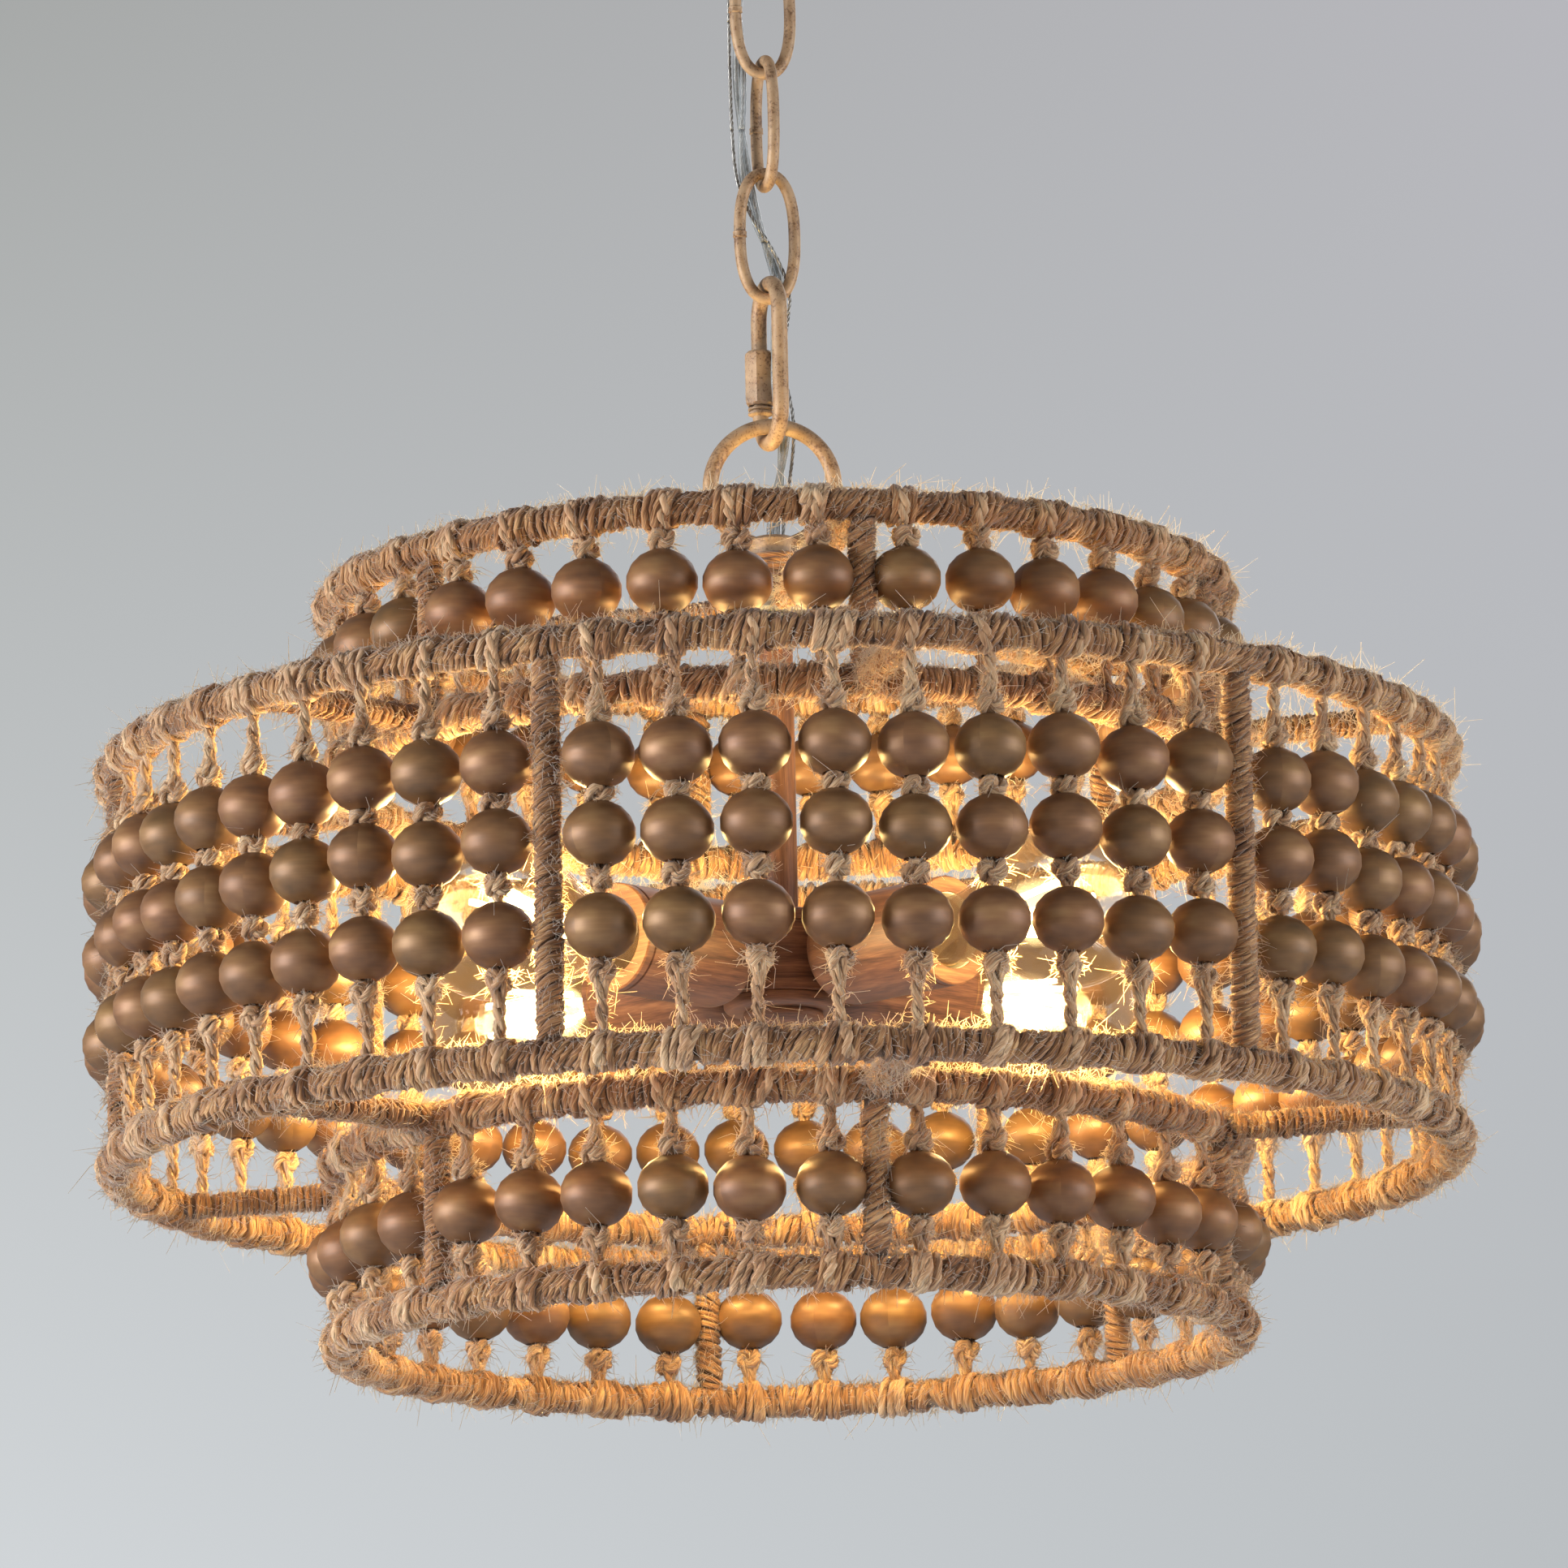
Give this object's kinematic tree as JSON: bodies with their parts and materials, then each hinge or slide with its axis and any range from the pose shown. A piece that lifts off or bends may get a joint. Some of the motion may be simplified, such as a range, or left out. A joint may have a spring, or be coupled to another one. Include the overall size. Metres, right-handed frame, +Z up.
{
  "type": "beaded chandelier",
  "caption": "Tiered pendant chandelier: jute-wound ring frame hung with round wooden beads, lamps inside, on a short chain with a ceiling canopy.",
  "frame": {"origin": "middle of the top face of the ceiling plate, on the ceiling", "axes": "+Z up to the ceiling, -Y the front of the fixture, +X to its right"},
  "size_m": [0.514, 0.5138, 0.5862],
  "materials": {
    "painted_metal": "distressed tan paint on steel",
    "steel": "plain zinc-plated steel",
    "jute": "natural jute twine, matt and hairy",
    "bead_wood": "satin bronze-brown stained wood",
    "dark_wood": "dark brown stained wood, satin",
    "porcelain": "glazed lamp holder",
    "brass": "plain lamp cap",
    "clear_glass": "clear lamp glass",
    "filament": "glowing filament",
    "clear_jacket": "clear cord jacket over silver wire"
  },
  "bodies": {
    "ceiling_set": {"crossbar": "steel", "canopy": "painted_metal", "canopy_stud_left": "steel", "canopy_stud_right": "steel", "cap_nut_left": "painted_metal", "cap_nut_right": "painted_metal", "canopy_loop": "painted_metal", "canopy_loop_nut": "steel", "supply_cord": "clear_jacket", "ground_wire": "steel"},
    "chain_link_1": {"link_1": "painted_metal"},
    "chain_link_2": {"link_2": "painted_metal"},
    "chain_link_3": {"link_3": "painted_metal"},
    "quick_link_body": {"quick_link": "painted_metal"},
    "quick_link_nut_body": {"quick_link_nut": "painted_metal"},
    "fixture": {"top_loop": "painted_metal", "stem_wrap": "jute", "frame_hub": "steel", "column_nut": "steel", "column_tube": "dark_wood", "socket_hub": "dark_wood", "hub_cap": "dark_wood", "bead_curtain_top_1": "jute", "bead_curtain_top_2": "jute", "bead_curtain_top_3": "jute", "bead_curtain_top_4": "jute", "bead_curtain_top_5": "jute", "bead_curtain_top_6": "jute", "bead_curtain_middle_1": "jute", "bead_curtain_middle_2": "jute", "bead_curtain_middle_3": "jute", "bead_curtain_middle_4": "jute", "bead_curtain_middle_5": "jute", "bead_curtain_middle_6": "jute", "bead_curtain_bottom_1": "jute", "bead_curtain_bottom_2": "jute", "bead_curtain_bottom_3": "jute", "bead_curtain_bottom_4": "jute", "bead_curtain_bottom_5": "jute", "bead_curtain_bottom_6": "jute", "socket_cup_1": "dark_wood", "lamp_holder_1": "porcelain", "socket_cup_2": "dark_wood", "lamp_holder_2": "porcelain", "socket_cup_3": "dark_wood", "lamp_holder_3": "porcelain", "socket_cup_4": "dark_wood", "lamp_holder_4": "porcelain"},
    "bulb_1": {"bulb_glass_1": "clear_glass", "bulb_base_1": "brass"},
    "bulb_2": {"bulb_glass_2": "clear_glass", "bulb_base_2": "brass"},
    "bulb_3": {"bulb_glass_3": "clear_glass", "bulb_base_3": "brass"},
    "bulb_4": {"bulb_glass_4": "clear_glass", "bulb_base_4": "brass"}
  },
  "joints": [
    {"name": "link_1_swing", "type": "hinge", "parent": "ceiling_set", "child": "chain_link_1", "pos_m": [0, 0, -0.0565], "axis": [-0.309, 0.9511, 0], "range_deg": [-12, 12], "deforming": ["supply_cord", "ground_wire"]},
    {"name": "link_2_swing", "type": "hinge", "parent": "chain_link_1", "child": "chain_link_2", "pos_m": [0, 0, -0.09995], "axis": [0.9511, 0.309, 0], "range_deg": [-12, 12]},
    {"name": "link_3_swing", "type": "hinge", "parent": "chain_link_2", "child": "chain_link_3", "pos_m": [0, 0, -0.14365], "axis": [0.309, -0.9511, 0], "range_deg": [-12, 12]},
    {"name": "quick_link_swing", "type": "hinge", "parent": "chain_link_3", "child": "quick_link_body", "pos_m": [0, 0, -0.18735], "axis": [0.9511, 0.309, 0], "range_deg": [-12, 12]},
    {"name": "fixture_swing", "type": "hinge", "parent": "quick_link_body", "child": "fixture", "pos_m": [0, 0, -0.2428], "axis": [0.309, -0.9511, 0], "range_deg": [-12, 12]},
    {"name": "sleeve_nut_travel", "type": "slide", "parent": "quick_link_body", "child": "quick_link_nut_body", "axis": [0, 0, 1], "range_m": [0, 0.01]},
    {"name": "bulb_1_screw", "type": "hinge", "parent": "fixture", "child": "bulb_1", "pos_m": [0, 0, -0.441], "axis": [0.7071, -0.7071, 0], "range_deg": [0, 1440]},
    {"name": "bulb_2_screw", "type": "hinge", "parent": "fixture", "child": "bulb_2", "pos_m": [0, 0, -0.441], "axis": [0.7071, 0.7071, 0], "range_deg": [0, 1440]},
    {"name": "bulb_3_screw", "type": "hinge", "parent": "fixture", "child": "bulb_3", "pos_m": [0, 0, -0.441], "axis": [-0.7071, 0.7071, 0], "range_deg": [0, 1440]},
    {"name": "bulb_4_screw", "type": "hinge", "parent": "fixture", "child": "bulb_4", "pos_m": [0, 0, -0.441], "axis": [-0.7071, -0.7071, 0], "range_deg": [0, 1440]}
  ]
}
